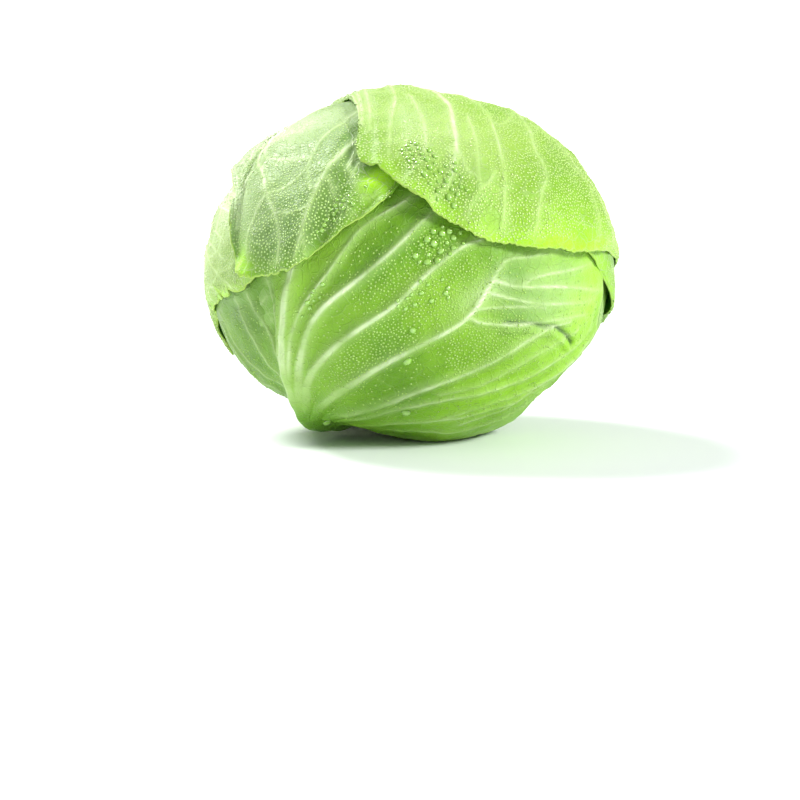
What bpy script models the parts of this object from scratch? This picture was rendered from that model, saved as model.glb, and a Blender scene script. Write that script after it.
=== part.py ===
"""Green cabbage: a packed heart, the cut stem, and seven wrapper leaves, each its own closed sheet.

Metres, +Z up. The head rests on the flattened patch under it, whose middle is the origin.
The front leaf faces -Y, and the cut stem points down and to the left (-X).

Each leaf is a sheet over the heart. A place on it is (w, s): w runs across the leaf from -1 to 1,
s from the stem (0) to the margin (1). Lines of equal w are the paths of its veins.
"""

import bmesh
import bpy
import numpy as np

# Semi-axes of the packed heart, and where its centre stands over the floor
HEART = np.array([0.0863, 0.0821, 0.0763])
HEART_CENTRE = np.array([-0.010, 0.004, 0.0741])
HEART_GAP = 0.0006

# Cut stem: the way it points from the heart's centre, its half angle, the leaves' start, the cut's height
STEM = np.array([-0.36, 0.08, -0.93])
STUMP_ANGLE = 0.168
LEAF_START = 0.205
CUT_HEIGHT = 0.0065
CORE_DEPTH = 0.008          # how far the heart is pressed in round the stem

# Wrapper leaves
LEAF_THICKNESS = 0.0008
LEAF_PITCH = 0.0022         # what one leaf adds to the head's radius
LEAF_PAD = 0.003            # the leaves outside it lie this far beyond its edge at full height,
LEAF_DRAPE = 0.026          # then come down over this distance
SHORT_DRAPE = 0.008         # the same where a leaf shows beside them, and on the floor
ROW_STEP = 0.0155           # between rows of a leaf's grid
COLUMN_STEP = 0.0155        # and most between its columns
COVERED_RIB = 0.2           # what is left of a vein's height under another leaf
FLOOR_ROUNDING = 0.0022     # how softly the head's curve runs into the flat patch
BALL_RADIUS = 0.083         # turns angles at the centre into lengths


def unit(v):
    return v / np.linalg.norm(v, axis=-1, keepdims=True)


STEM = unit(STEM)

# Where the head is flatter than a plain ball: the direction from its centre, how deep, how far in radians
FLATS = [(STEM, 0.013, 0.40), (unit(np.array([0.70, -0.10, -0.70])), 0.006, 0.33)]


def direction(bearing, rise):
    """Unit vector at a bearing from the front (-Y), turning to the right (+X), and a rise, in degrees."""
    b, r = np.radians(bearing), np.radians(rise)
    return np.array([np.sin(b) * np.cos(r), -np.cos(b) * np.cos(r), np.sin(r)])


def curve_through(x, values):
    """Smooth curve through values that stand evenly over -1 to 1."""
    values = np.asarray(values, float)
    n = len(values) - 1
    t = (np.asarray(x, float) + 1) / 2 * n
    i = np.clip(np.floor(t).astype(int), 0, n - 1)
    f = t - i
    p = np.concatenate([[2 * values[0] - values[1]], values, [2 * values[-1] - values[-2]]])
    a, b, c, d = p[i], p[i + 1], p[i + 2], p[i + 3]
    return b + 0.5 * f * (c - a + f * (2 * a - 5 * b + 4 * c - d + f * (3 * (b - c) + d - a)))


def smooth_step(t):
    t = np.clip(t, 0, 1)
    return t * t * (3 - 2 * t)


class Leaf:
    """A wrapper leaf over the ball: its middle, its base on the stem, its margin and its veins.

    middle: bearing and rise of its middle. leans: turn of its base round the stem.
    margin: (turn round the middle, reach from it) in degrees, evenly spaced over w.
    fan: turn round the stem and distance from it, in degrees, of the points that the veins bend towards.
    veins: the w of each lateral vein, with its height in millimetres.
    midrib: w, height and half width at the stem, in millimetres.
    midrib_bend: how far the midrib's w runs over at the stem.
    """

    def __init__(self, name, middle, leans, spread, margin, fan, midrib, veins, ruffle=0.0,
                 midrib_bend=0.0):
        self.name, self.leans, self.spread, self.ruffle = name, leans, spread, ruffle
        self.midrib, self.rib_height, self.rib_width = midrib[0], midrib[1] / 1000, midrib[2] / 1000
        self.veins = [(w, height / 1000) for w, height in veins]
        self.vein_start = 0.12 if midrib_bend else -0.05
        self.margin, self.fan = np.array(margin, float), fan
        self.centre = direction(*middle)
        self.up = unit((STEM @ self.centre) * self.centre - STEM)
        self.side = np.cross(self.up, self.centre)
        self.stem_up = unit(self.centre - (STEM @ self.centre) * STEM)
        self.stem_side = np.cross(STEM, self.stem_up)
        self.stem_side *= np.sign(self.stem_side @ self.side)
        w, v = np.meshgrid(np.linspace(-1, 1, 121), np.linspace(0, 1, 241), indexing="ij")
        paths = self.on_ball(self.vein_path(w, v))
        along = np.cumsum(np.linalg.norm(np.diff(paths, axis=1, prepend=paths[:, :1]), axis=2), axis=1)
        self.length = along[:, -1].max()
        evenly = np.linspace(0, 1, 121)
        self.even_v = np.array([np.interp(evenly, row / row[-1], v[0]) for row in along])
        self.rib_s = np.linspace(0, 1, 90)
        self.rib_line = self.at(self.midrib + midrib_bend * (1 - smooth_step(self.rib_s / 0.45)), self.rib_s)
        w, s = np.linspace(-1, 1, 161), np.linspace(0, 1, 41)
        ring = np.concatenate([
            np.stack([w, np.ones_like(w)], 1), np.stack([np.ones_like(s), s[::-1]], 1),
            np.stack([w[::-4], np.zeros(41)], 1), np.stack([-np.ones_like(s), s], 1)])
        self.outline = self.at(ring[:, 0], ring[:, 1])

    def on_plane(self, u):
        """Flat picture of the ball, seen from the far side of the leaf's middle."""
        return np.stack([u @ self.side, u @ self.up], -1) * (2 / (1 + u @ self.centre))[..., None]

    def on_ball(self, p):
        square = (p ** 2).sum(-1)[..., None]
        flat = 4 * p[..., :1] * self.side + 4 * p[..., 1:] * self.up
        return ((4 - square) * self.centre + flat) / (4 + square)

    def round_stem(self, turn, away):
        turn, away = np.radians(turn)[..., None], np.asarray(away)[..., None]
        ring = np.cos(turn) * self.stem_up + np.sin(turn) * self.stem_side
        return np.cos(away) * STEM + np.sin(away) * ring

    def vein_path(self, w, v):
        """Plane points of the path at w: from the stem, towards the fan's point, to the margin."""
        turns, reaches = self.fan
        start = self.round_stem(self.leans + (w - self.midrib) * self.spread, np.full_like(w, LEAF_START))
        bend = self.round_stem(curve_through(w, turns), LEAF_START + np.radians(curve_through(w, reaches)))
        turn = np.radians(curve_through(w, self.margin[:, 0]))
        reach = 2 * np.tan(np.radians(curve_through(w, self.margin[:, 1])) / 2)
        end = reach[..., None] * np.stack([np.sin(turn), np.cos(turn)], -1)
        v = v[..., None]
        return (1 - v) ** 2 * self.on_plane(start) + 2 * v * (1 - v) * self.on_plane(bend) + v * v * end

    def at(self, w, s):
        """Unit vectors from the heart's centre to places on the leaf, s measured evenly along each path."""
        x, y = (w + 1) * 60, s * 120
        i, j = np.clip(x.astype(int), 0, 119), np.clip(y.astype(int), 0, 119)
        x, y, v = x - i, y - j, self.even_v
        here = v[i, j] * (1 - y) + v[i, j + 1] * y
        beside = v[i + 1, j] * (1 - y) + v[i + 1, j + 1] * y
        return self.on_ball(self.vein_path(w, here * (1 - x) + beside * x))

    def depth(self, u):
        """Distance inside the leaf's outline, negative outside it."""
        a = self.on_plane(self.outline)
        b = np.roll(a, -1, axis=0)
        p = self.on_plane(u)
        x, y = p[:, None, 0], p[:, None, 1]
        crosses = (a[:, 1] > y) != (b[:, 1] > y)
        at = a[:, 0] + (y - a[:, 1]) * (b[:, 0] - a[:, 0]) / np.where(crosses, b[:, 1] - a[:, 1], 1)
        inside = (crosses & (x < at)).sum(1) % 2 == 1
        nearest = np.arccos(np.clip((u @ self.outline.T).max(1), -1, 1)) * BALL_RADIUS
        return np.where(inside, nearest, -nearest)

    def cover(self, u, drape=LEAF_DRAPE):
        """1 over the leaf and just beyond it, 0 where the leaves outside have come down past its edge."""
        return smooth_step(1 + (self.depth(u) + LEAF_PAD) / drape)

    def rib(self, u, wider=1.0):
        """Height of the midrib's swelling at u."""
        near = (u @ self.rib_line.T)
        s = self.rib_s[near.argmax(1)]
        away = np.arccos(np.clip(near.max(1), -1, 1)) * BALL_RADIUS
        width = wider * self.rib_width * (1.0 - 0.72 * s ** 0.6)
        return self.rib_height * (1 - s) ** 0.8 * np.exp(-(away / width) ** 2)

    def ridges(self, w, s):
        """Height of the lateral veins on the leaf's own sheet."""
        total = np.zeros_like(w)
        for at, height in self.veins:
            half = vein_half_width(height)
            total = np.maximum(total, height * (1 - 0.75 * s) * np.clip(1 - np.abs(w - at) / half, 0, 1))
        return total * smooth_step((s - self.vein_start) / 0.2)


def vein_half_width(height):
    """Half width over w of a vein of this height."""
    return 0.022 + 12 * height


LEAVES = [
    Leaf("under_leaf", (-100, -25), 0, 34,
         [(-125 + 41.7 * i, r) for i, r in enumerate((62, 66, 66, 62, 66, 66, 62))],
         ((-40, 0, 40), (20, 30, 20)), (0, 1.6, 8), [(w, 0.5) for w in (-0.6, -0.3, 0.3, 0.6)]),
    Leaf("back_leaf", (172, -5), 0, 34,
         [(-125 + 41.7 * i, r) for i, r in enumerate((84, 80, 72, 66, 72, 80, 84))],
         ((-60, 0, 60), (20, 40, 20)), (0, 2.2, 9),
         [(w, 0.8) for w in (-0.72, -0.48, -0.24, 0.24, 0.48, 0.72)]),
    Leaf("right_leaf", (118, -8), 0, 34,
         [(-125 + 41.7 * i, r) for i, r in enumerate((84, 76, 66, 62, 66, 76, 80))],
         ((-60, 0, 60), (20, 40, 20)), (0, 2.2, 9),
         [(w, 0.8) for w in (-0.72, -0.48, -0.24, 0.24, 0.48, 0.72)]),
    Leaf("front_leaf", (-3, -12.5), -27, 40,
         [(-150 + 50 * i, r) for i, r in enumerate((76, 78, 64, 58, 73, 77, 86))],
         ((-75, -45, -35, -42, -38, -20, 10), (30, 55, 60, 66, 34, 22, 20)), (-0.30, 4.6, 11),
         [(-0.78, 0.7), (-0.62, 0.9), (-0.45, 0.9), (0.0, 1.2), (0.10, 1.8), (0.22, 1.9), (0.32, 1.8),
          (0.43, 1.6), (0.55, 1.3), (0.68, 1.0), (0.82, 0.8)], midrib_bend=0.42),
    Leaf("left_leaf", (-128, 5), 0, 34,
         [(-130, 78), (-88, 72), (-45, 68), (0, 68), (42, 76), (74, 90), (100, 80), (112, 60), (125, 48),
          (141, 53)],
         ((-40, -19, -20, 9, 34), (59, 46, 95, 95, 49)), (0, 2.2, 9),
         [(w, 0.8) for w in (-0.72, -0.48, -0.24, 0.2, 0.4, 0.6, 0.8)], 0.0008),
    Leaf("over_left_leaf", (120, 60), 0, 40,
         [(-105, 78), (-72, 70), (-42, 68), (-18, 69), (0, 75), (2.5, 85), (8, 95.5), (12.5, 104),
          (18, 112.5), (29, 117), (38.5, 115), (46, 101), (57, 90), (74, 83.5), (92, 82), (108, 83)],
         ((-24, -11, -2, 7, 12), (12, 27, 91, 89, 44)), (0.07, 2.6, 10),
         [(-0.7, 0.7), (-0.45, 0.7), (-0.25, 0.8), (-0.10, 0.9), (0.19, 1.0), (0.31, 1.0), (0.5, 0.8),
          (0.72, 0.7)], 0.0012),
    Leaf("over_right_leaf", (170, 60), -8, 40,
         [(-105, 76), (-82, 80), (-60, 83), (-44, 87.5), (-25, 95.5), (-10, 100), (3, 102), (13, 100.5),
          (23, 95.5), (31, 89.5), (38, 83.5), (42.5, 80.5), (43.5, 80), (44.3, 78.5), (45, 76.5),
          (45.6, 74), (46, 71)],
         ((-11, 5, -9, -15, 6), (26, 62, 95, 113, 128)), (0.0, 2.6, 10),
         [(-0.75, 0.7), (-0.55, 0.9), (-0.38, 1.0), (-0.20, 1.0), (0.14, 1.0), (0.28, 1.0), (0.5, 0.8),
          (0.75, 0.7)], 0.0010),
]


def outward(u, height):
    """Points at a height over the heart's surface, along its normal."""
    for way, depth, spread in FLATS:
        height = height - depth * np.exp(-(np.arccos(np.clip(u @ way, -1, 1)) / spread) ** 2)
    return HEART_CENTRE + u * HEART + unit(u / HEART) * height[:, None]


def stack_height(u, k):
    """Outer surface of leaf k over the heart; -1 is the heart itself."""
    total = np.zeros(len(u))
    for i, leaf in enumerate(LEAVES[:k + 1]):
        total += LEAF_PITCH * leaf.cover(u) + leaf.rib(u, 1.0 if i == k else 1.6)
    return total


def over_floor(points, u, k):
    """Presses points of leaf k up, so that the leaves outside it still fit between it and the floor."""
    under = sum((LEAF_PITCH * leaf.cover(u, SHORT_DRAPE) for leaf in LEAVES[k + 1:]), np.zeros(len(u)))
    a, b = points[:, 2], under
    mix = np.clip(0.5 + 0.5 * (a - b) / FLOOR_ROUNDING, 0, 1)
    lifted = b + (a - b) * mix + FLOOR_ROUNDING * mix * (1 - mix)
    return np.concatenate([points[:, :2], lifted[:, None]], 1)


def exposed(u, k):
    """1 where nothing lies over leaf k."""
    shown = np.ones(len(u))
    for leaf in LEAVES[k + 1:]:
        shown *= 1 - leaf.cover(u, SHORT_DRAPE)
    return shown


def leaf_columns(leaf):
    """The w of the grid's columns: the veins' crests, the feet of the tall ones, what gaps need."""
    marks = {-1.0, 1.0, leaf.midrib - 0.06, leaf.midrib, leaf.midrib + 0.06}
    for at, height in leaf.veins:
        half = vein_half_width(height)
        marks |= {at - half, at, at + half} if height > 0.0011 else {at}
    marks = sorted(m for m in marks if -1 <= m <= 1)
    w = np.linspace(-1, 1, 401)
    rings = np.stack([leaf.at(w, np.full(401, s)) for s in (0.55, 0.75, 1.0)])
    steps = np.linalg.norm(np.diff(rings, axis=1), axis=2).max(0) * BALL_RADIUS
    across = np.concatenate([[0], np.cumsum(steps)])
    kept = [0.0]
    for mark in np.interp(marks[1:], w, across):
        gap = mark - kept[-1]
        if gap > 0.0022:
            kept += list(np.linspace(kept[-1], mark, int(np.ceil(gap / COLUMN_STEP)) + 1)[1:])
    kept[-1] = across[-1]
    return np.interp(kept, across, w)


def add_object(name, bm, colour, roughness):
    mesh = bpy.data.meshes.new(name)
    bm.to_mesh(mesh)
    bm.free()
    for polygon in mesh.polygons:
        polygon.use_smooth = True
    material = bpy.data.materials.new(name)
    material.use_nodes = True
    shader = material.node_tree.nodes["Principled BSDF"]
    shader.inputs["Base Color"].default_value = (*colour, 1)
    shader.inputs["Roughness"].default_value = roughness
    shader.inputs["Metallic"].default_value = 0.0
    mesh.materials.append(material)
    obj = bpy.data.objects.new(name, mesh)
    HEAD.objects.link(obj)
    return obj


def place(bm, positions):
    for vertex, position in zip(bm.verts, positions):
        vertex.co = position


def add_leaf(k, colour):
    leaf = LEAVES[k]
    columns = leaf_columns(leaf)
    rows = round(leaf.length * BALL_RADIUS / ROW_STEP)
    bm = bmesh.new()
    bmesh.ops.create_grid(bm, x_segments=len(columns) - 1, y_segments=rows, size=1)
    grid = np.array([vertex.co for vertex in bm.verts])
    w = np.interp(grid[:, 0], np.linspace(-1, 1, len(columns)), columns)
    s = (grid[:, 1] + 1) / 2
    u = leaf.at(w, s)
    shown = exposed(u, k)
    height = stack_height(u, k) + leaf.ridges(w, s) * (COVERED_RIB + (1 - COVERED_RIB) * shown)
    height += leaf.ruffle * shown * s ** 6 * (1 + np.sin(31 * w))
    place(bm, over_floor(outward(u, height), u, k))
    bmesh.ops.triangulate(bm, faces=bm.faces)
    obj = add_object(leaf.name, bm, colour, 0.42)
    thickness = obj.modifiers.new("thickness", "SOLIDIFY")
    thickness.thickness = LEAF_THICKNESS
    thickness.offset = -1
    return obj


def add_heart():
    bm = bmesh.new()
    bmesh.ops.create_icosphere(bm, subdivisions=4, radius=1)
    u = unit(np.array([vertex.co for vertex in bm.verts]))
    core = CORE_DEPTH * smooth_step((0.34 - np.arccos(np.clip(u @ STEM, -1, 1))) / 0.12)
    place(bm, over_floor(outward(u, -HEART_GAP - core), u, -1) + np.array([0, 0, HEART_GAP]))
    return add_object("heart", bm, (0.62, 0.74, 0.36), 0.5)


def add_stump():
    """The cut stem: a cone frustum whose sides point at the heart's centre, cut level just over the floor."""
    bm = bmesh.new()
    bmesh.ops.create_cone(bm, cap_ends=True, segments=32, radius1=1, radius2=1, depth=2)
    side = unit(np.cross(STEM, (0, 1, 0)))
    other = np.cross(STEM, side)
    positions = []
    for x, y, z in (vertex.co for vertex in bm.verts):
        u = unit(np.cos(STUMP_ANGLE) * STEM + np.sin(STUMP_ANGLE) * (x * side + y * other))
        if z > 0:
            positions.append(outward(u[None], np.array([0.0025 - CORE_DEPTH]))[0])
        else:
            positions.append(HEART_CENTRE + u * (CUT_HEIGHT - HEART_CENTRE[2]) / u[2])
    place(bm, positions)
    bm.normal_update()
    bmesh.ops.recalc_face_normals(bm, faces=bm.faces)
    return add_object("stem_stump", bm, (0.66, 0.74, 0.42), 0.6)


for old in list(bpy.data.objects):
    bpy.data.objects.remove(old)

HEAD = bpy.data.collections.new("green_cabbage")
bpy.context.scene.collection.children.link(HEAD)

add_heart()
add_stump()
LEAF_COLOURS = [(0.30, 0.56, 0.10), (0.33, 0.60, 0.12), (0.33, 0.60, 0.12), (0.27, 0.54, 0.09),
                (0.40, 0.66, 0.18), (0.34, 0.60, 0.12), (0.37, 0.64, 0.12)]
for k, colour in enumerate(LEAF_COLOURS):
    add_leaf(k, colour)
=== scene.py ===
"""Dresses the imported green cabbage: veined wrapper leaves, the cut stem, its heart and the dew on it.

Metres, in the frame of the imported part. A place on a leaf is (w, s), as in the part: w runs across
the leaf from -1 to 1, s from the stem (0) to the margin (1), and lines of equal w are its veins' paths.
"""

from collections import namedtuple

import bmesh
import bpy
import numpy as np
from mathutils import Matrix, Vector


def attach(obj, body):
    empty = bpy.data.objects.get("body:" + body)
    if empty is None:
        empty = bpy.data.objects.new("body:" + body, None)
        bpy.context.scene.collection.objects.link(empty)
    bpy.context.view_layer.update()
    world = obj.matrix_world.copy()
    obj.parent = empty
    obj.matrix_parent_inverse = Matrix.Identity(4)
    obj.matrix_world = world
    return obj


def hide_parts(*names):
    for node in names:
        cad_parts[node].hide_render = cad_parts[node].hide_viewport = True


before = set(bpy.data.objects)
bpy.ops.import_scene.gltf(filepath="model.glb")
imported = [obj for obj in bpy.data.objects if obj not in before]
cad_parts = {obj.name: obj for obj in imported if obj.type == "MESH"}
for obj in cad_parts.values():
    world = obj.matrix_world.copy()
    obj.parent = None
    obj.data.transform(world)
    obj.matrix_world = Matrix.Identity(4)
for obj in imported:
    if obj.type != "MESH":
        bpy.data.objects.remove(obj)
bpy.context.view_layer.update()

MM = 0.001

# The head, as in the part: semi-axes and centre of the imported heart, the way the stem points
HEART = np.array([0.0863, 0.0821, 0.0763])
HEART_CENTRE = np.array([-0.01, 0.004, 0.0741])
STEM = np.array([-0.36, 0.08, -0.93])
LEAF_START = 0.205
BALL_RADIUS = 0.083

# How the leaves lie over each other, as in the part
LEAF_PITCH = 0.0022
LEAF_PAD = 0.003
LEAF_DRAPE = 0.026
SHORT_DRAPE = 0.008
COVERED_RELIEF = 0.25
RELIEF_DRAPE = 0.005
FLOOR_ROUNDING = 0.0022
LEAF_THICKNESS = 0.0007

# Meshing: the step of a leaf's sheet where it is covered, and the cuts of that step where more than
# SHOWN_FROM of it shows. They are finer ahead, up to this far behind the heart's centre, in its radii
SHEET_STEP = 0.00375
FRONT_CUTS = 2
BACK_CUTS = 1
AHEAD = 0.15
SHOWN_FROM = 0.001

# Camera, from the photograph's viewing angle
EYE_DISTANCE = 1.288
EYE_TILT = 8.0
LENS_MM, SENSOR_MM = 85.0, 24.0
HEAD_MIDDLE = np.array([-0.01, 0.004, 0.078])
HEAD_OFF_AXIS = (10.0, 138.0)       # pixels right of and above the picture's middle
PICTURE_PX = 800.0


def unit(v):
    return v / np.linalg.norm(v, axis=-1, keepdims=True)


STEM = unit(STEM)

# Where the head is flatter than a plain ball: the direction from its centre, how deep, how far in radians
FLATS = [(STEM, 0.013, 0.4), (unit(np.array([0.7, -0.1, -0.7])), 0.006, 0.33)]


def direction(bearing, rise):
    """Unit vectors at bearings from the front (-Y), turning to the right (+X), and rises, in degrees."""
    b, r = np.radians(bearing), np.radians(rise)
    return np.stack([np.sin(b) * np.cos(r), -np.cos(b) * np.cos(r), np.sin(r)], -1)


def curve_through(x, values):
    """Smooth curve through values that stand evenly over -1 to 1."""
    values = np.asarray(values, float)
    n = len(values) - 1
    t = (np.asarray(x, float) + 1) / 2 * n
    i = np.clip(np.floor(t).astype(int), 0, n - 1)
    f = t - i
    p = np.concatenate([[2 * values[0] - values[1]], values, [2 * values[-1] - values[-2]]])
    a, b, c, d = p[i], p[i + 1], p[i + 2], p[i + 3]
    return b + 0.5 * f * (c - a + f * (2 * a - 5 * b + 4 * c - d + f * (3 * (b - c) + d - a)))


def smooth_step(t):
    t = np.clip(t, 0, 1)
    return t * t * (3 - 2 * t)


def from_net(net, x, y):
    """A net's values at x and y, which count its cells."""
    i, j = (np.clip(cell.astype(int), 0, knots - 2) for cell, knots in zip((x, y), net.shape))
    x, y = x - i, y - j
    near = net[i, j] * (1 - x) + net[i + 1, j] * x
    far = net[i, j + 1] * (1 - x) + net[i + 1, j + 1] * x
    return near * (1 - y) + far * y


class Chart:
    """A value all over the ball, kept on a net of bearings and rises and read between its knots."""

    STEP = 1.2

    def __init__(self, function):
        columns, rows = round(360 / self.STEP) + 1, round(180 / self.STEP) + 1
        bearing, rise = np.linspace(-180, 180, columns), np.linspace(-90, 90, rows)
        bearing, rise = np.meshgrid(bearing, rise, indexing="ij")
        self.net = function(direction(bearing.ravel(), rise.ravel())).reshape(columns, rows)

    def __call__(self, u):
        x = (np.degrees(np.arctan2(u[:, 0], -u[:, 1])) + 180) / self.STEP
        y = (np.degrees(np.arcsin(np.clip(u[:, 2], -1, 1))) + 90) / self.STEP
        return from_net(self.net, x, y)


class Leaf:
    """A wrapper leaf over the ball, laid out as in the part, with the marks of its own margin.

    middle: bearing and rise of its middle. leans: turn of its base round the stem.
    margin: (turn round the middle, reach from it) in degrees, evenly spaced over w.
    fan: turn round the stem and distance from it, in degrees, of the points that the veins bend towards.
    midrib: its w, and its height and half width at the stem, in millimetres. midrib_bend: how far its w runs
    over at the stem.
    ruffle: half the height of the waves along its margin, in metres.
    """

    CELLS = 120
    RIB_BEND_END = 0.45

    def __init__(self, name, middle, leans, spread, margin, fan, midrib, ruffle=0.0, midrib_bend=0.0):
        self.name, self.leans, self.spread, self.ruffle = name, leans, spread, ruffle
        self.midrib, self.rib_height, self.rib_width = midrib[0], midrib[1] * MM, midrib[2] * MM
        self.margin, self.fan = np.array(margin, float), fan
        self.centre = direction(*middle)
        self.up = unit((STEM @ self.centre) * self.centre - STEM)
        self.side = np.cross(self.up, self.centre)
        self.stem_up = unit(self.centre - (STEM @ self.centre) * STEM)
        self.stem_side = np.cross(STEM, self.stem_up)
        self.stem_side *= np.sign(self.stem_side @ self.side)
        w, v = np.linspace(-1, 1, self.CELLS + 1), np.linspace(0, 1, 2 * self.CELLS + 1)
        w, v = np.meshgrid(w, v, indexing="ij")
        paths = self.on_ball(self.vein_path(w, v))
        along = np.cumsum(np.linalg.norm(np.diff(paths, axis=1, prepend=paths[:, :1]), axis=2), axis=1)
        self.lengths = along[:, -1] * BALL_RADIUS
        evenly = np.linspace(0, 1, self.CELLS + 1)
        self.even_v = np.array([np.interp(evenly, row / row[-1], v[0]) for row in along])
        self.rib_s = np.linspace(0, 1, 90)
        bent = midrib_bend * (1 - smooth_step(self.rib_s / self.RIB_BEND_END))
        self.rib_line = self.at(self.midrib + bent, self.rib_s)
        w, s = np.linspace(-1, 1, 161), np.linspace(0, 1, 41)
        one = np.ones_like(s)
        ring = [(w, np.ones_like(w)), (one, s[::-1]), (w[::-4], 0 * s), (-one, s)]
        self.outline = self.at(*np.concatenate(ring, axis=1))
        self.depth = Chart(self.measure_depth)
        self.wide_rib = Chart(lambda u: self.rib(u, 1.6))

    def on_plane(self, u):
        """Flat picture of the ball, seen from the far side of the leaf's middle."""
        return np.stack([u @ self.side, u @ self.up], -1) * (2 / (1 + u @ self.centre))[..., None]

    def on_ball(self, p):
        square = (p ** 2).sum(-1)[..., None]
        flat = 4 * p[..., :1] * self.side + 4 * p[..., 1:] * self.up
        return ((4 - square) * self.centre + flat) / (4 + square)

    def round_stem(self, turn, away):
        turn, away = np.radians(turn)[..., None], np.asarray(away)[..., None]
        ring = np.cos(turn) * self.stem_up + np.sin(turn) * self.stem_side
        return np.cos(away) * STEM + np.sin(away) * ring

    def vein_path(self, w, v):
        """Plane points of the path at w: from the stem, towards the fan's point, to the margin."""
        turns, reaches = self.fan
        start = self.round_stem(self.leans + (w - self.midrib) * self.spread, np.full_like(w, LEAF_START))
        bend = self.round_stem(curve_through(w, turns), LEAF_START + np.radians(curve_through(w, reaches)))
        turn = np.radians(curve_through(w, self.margin[:, 0]))
        reach = 2 * np.tan(np.radians(curve_through(w, self.margin[:, 1])) / 2)
        end = reach[..., None] * np.stack([np.sin(turn), np.cos(turn)], -1)
        v = v[..., None]
        return (1 - v) ** 2 * self.on_plane(start) + 2 * v * (1 - v) * self.on_plane(bend) + v * v * end

    def at(self, w, s):
        """Unit vectors from the heart's centre to places on the leaf, s measured evenly along each path."""
        x, y = (np.clip(w, -1, 1) + 1) * (self.CELLS / 2), np.clip(s, 0, 1) * self.CELLS
        return self.on_ball(self.vein_path(w, from_net(self.even_v.T, y, x)))

    def measure_depth(self, u):
        """Distance inside the leaf's outline, negative outside it."""
        a = self.on_plane(self.outline)
        b = np.roll(a, -1, axis=0)
        p = self.on_plane(u)
        x, y = p[:, None, 0], p[:, None, 1]
        crosses = (a[:, 1] > y) != (b[:, 1] > y)
        at = a[:, 0] + (y - a[:, 1]) * (b[:, 0] - a[:, 0]) / np.where(crosses, b[:, 1] - a[:, 1], 1)
        inside = (crosses & (x < at)).sum(1) % 2 == 1
        nearest = np.arccos(np.clip((u @ self.outline.T).max(1), -1, 1)) * BALL_RADIUS
        return np.where(inside, nearest, -nearest)

    def cover(self, u, drape=LEAF_DRAPE, pad=LEAF_PAD):
        """1 over the leaf and just beyond it, 0 where the leaves outside have come down past its edge."""
        return smooth_step(1 + (self.depth(u) + pad) / drape)

    def rib(self, u, wider=1.0):
        """Height of the midrib's swelling at u."""
        near = u @ self.rib_line.T
        s = self.rib_s[near.argmax(1)]
        away = np.arccos(np.clip(near.max(1), -1, 1)) * BALL_RADIUS
        width = wider * self.rib_width * (1.0 - 0.72 * s ** 0.6)
        return self.rib_height * (1 - s) ** 0.8 * np.exp(-(away / width) ** 2)


class Vein:
    """A raised vein: the places (w, s) it runs through, and at its two ends half its width and its height.

    Widths and heights are in millimetres. skew makes its left flank wider (positive) or narrower.
    """

    PALE_SHARE = 0.34
    FLANKS = 2.2
    BEYOND = 6 * MM

    def __init__(self, leaf, places, half, height, skew=0.0):
        places = np.array(places, float)
        n = 14 * len(places)
        t = np.linspace(-1, 1, n)
        w, s = curve_through(t, places[:, 0]), curve_through(t, places[:, 1])
        self.line = leaf.at(w, s) * BALL_RADIUS
        self.along = unit(np.gradient(self.line, axis=0))
        part = np.linspace(0, 1, n)
        self.half = (half[0] + (half[1] - half[0]) * part) * MM
        self.height = (height[0] + (height[1] - height[0]) * part) * MM
        self.skew = skew

    def press(self, points, relief, edge):
        """Raises relief to this vein, and edge to how far a place lies inside its pale band."""
        reach = self.FLANKS * self.half.max() + self.BEYOND
        middle = self.line.mean(0)
        radius = np.linalg.norm(self.line - middle, axis=1).max() + reach
        near = np.flatnonzero(((points - middle) ** 2).sum(1) < radius ** 2)
        if not len(near):
            return
        p = points[near]
        i = (p @ self.line.T).argmax(1)
        offset = p - self.line[i]
        along = (offset * self.along[i]).sum(1)
        along = np.where(i == 0, np.maximum(along, 0), along)
        along = np.where(i == len(self.line) - 1, np.minimum(along, 0), along)
        across = offset - along[:, None] * self.along[i]
        left = np.sign((across * np.cross(self.along[i], unit(p))).sum(1))
        away = np.linalg.norm(across, axis=1)
        half = self.half[i] * (1 - self.skew * left)
        crest = self.height[i] * np.exp(-1.6 * (away / half) ** 2)
        relief[near] = np.maximum(relief[near], crest)
        edge[near] = np.maximum(edge[near], self.PALE_SHARE * self.half[i] - away)


def grown_veins(leaf, seed, laterals):
    """The midrib, laterals, their forks and the cross veins of a leaf that isn't drawn vein by vein."""
    rng = np.random.default_rng(seed)
    middle = leaf.midrib
    veins = [Vein(leaf, [(middle, s) for s in (0.0, 0.2, 0.4, 0.6, 0.8, 0.98)], (5.0, 0.8), (1.5, 0.4))]
    ways = []
    for w in laterals:
        wave = rng.uniform(-0.016, 0.016, 6)
        way = [(w + wave[i], s) for i, s in enumerate((0.03, 0.22, 0.42, 0.6, 0.8, 0.97))]
        ways.append(way)
        veins.append(Vein(leaf, way, (2.6, 0.6), (1.0, 0.3)))
        for side in (-1, 1):
            start = rng.uniform(0.45, 0.7)
            spread = side * rng.uniform(0.05, 0.09)
            fork = [(w, start), (w + 0.45 * spread, start + 0.1), (w + 0.85 * spread, start + 0.22),
                    (w + spread, min(start + 0.36, 0.98))]
            veins.append(Vein(leaf, fork, (1.1, 0.5), (0.55, 0.25)))
    for a, b in zip(ways, ways[1:]):
        low, high = a[0][0], b[0][0]
        if abs(high - low) > 0.35:
            continue
        for s in np.arange(0.3, 0.95, 0.085):
            s = s + rng.uniform(-0.02, 0.02)
            bow = rng.uniform(0.02, 0.05)
            veins.append(Vein(leaf, [(low, s), (0.5 * (low + high), s + bow), (high, s + 0.4 * bow)],
                              (0.75, 0.6), (0.3, 0.25)))
    return veins


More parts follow.
